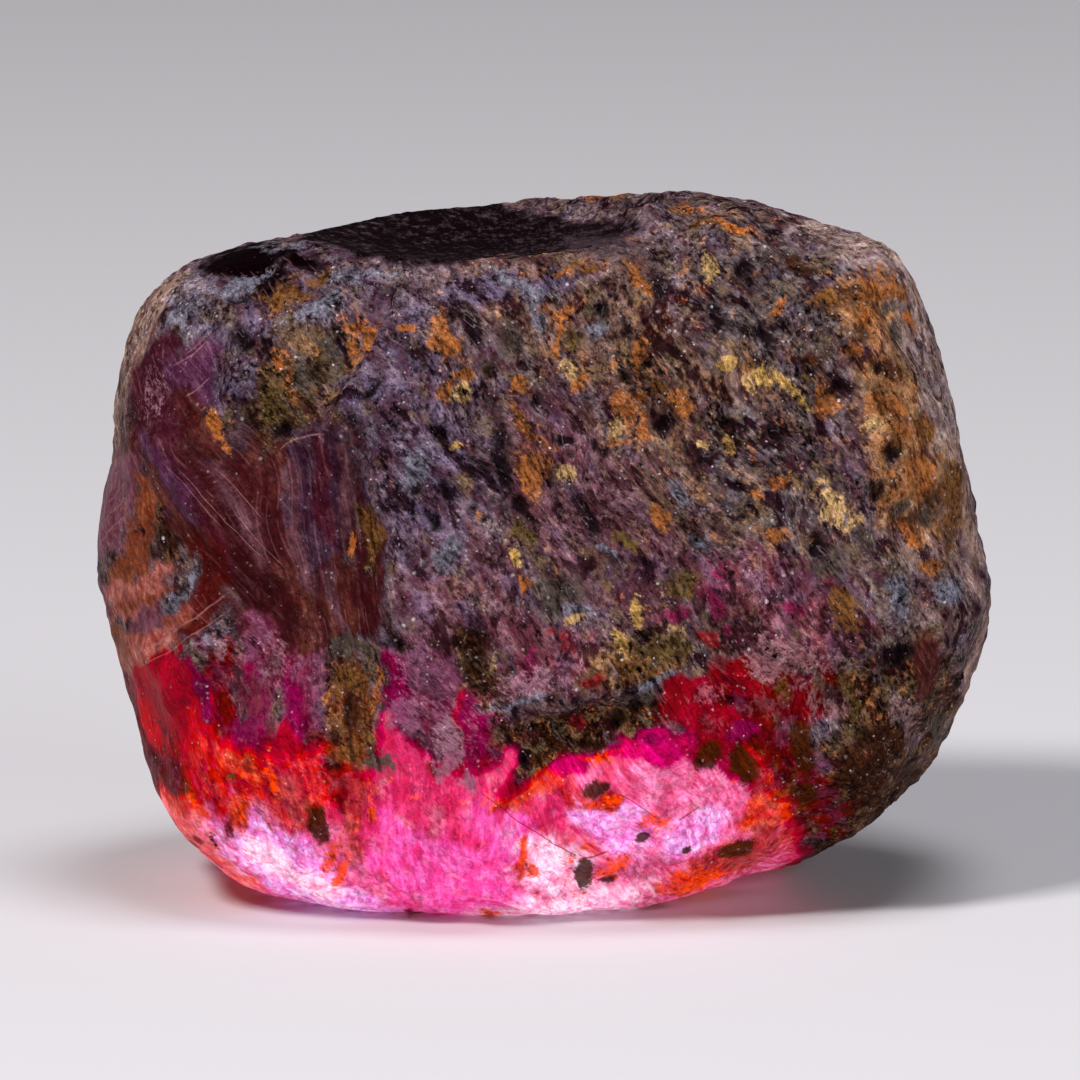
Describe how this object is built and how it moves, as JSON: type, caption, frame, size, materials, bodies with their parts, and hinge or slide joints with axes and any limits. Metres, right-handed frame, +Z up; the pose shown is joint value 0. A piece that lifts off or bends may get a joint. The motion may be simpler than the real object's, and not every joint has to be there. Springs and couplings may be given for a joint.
{
  "type": "raw ruby crystal",
  "caption": "Rough, waterworn ruby crystal: a rounded block with a smooth dish in its top, a hollowed left side and a flattened underside that it rests on.",
  "frame": {"origin": "on the flat underside, below the middle of the crystal's box seen from above", "axes": "+X to the right along the crystal's length as the picture shows it, +Y away from the picture's camera, +Z up"},
  "size_m": [0.0242, 0.017, 0.0189],
  "materials": {
    "raw_ruby": "natural mineral surface: dark plum and maroon corundum with an ochre and grey crust, rough, with smooth glossy fractures"
  },
  "bodies": {
    "root": {"ruby_crystal": "raw_ruby"}
  },
  "joints": []
}
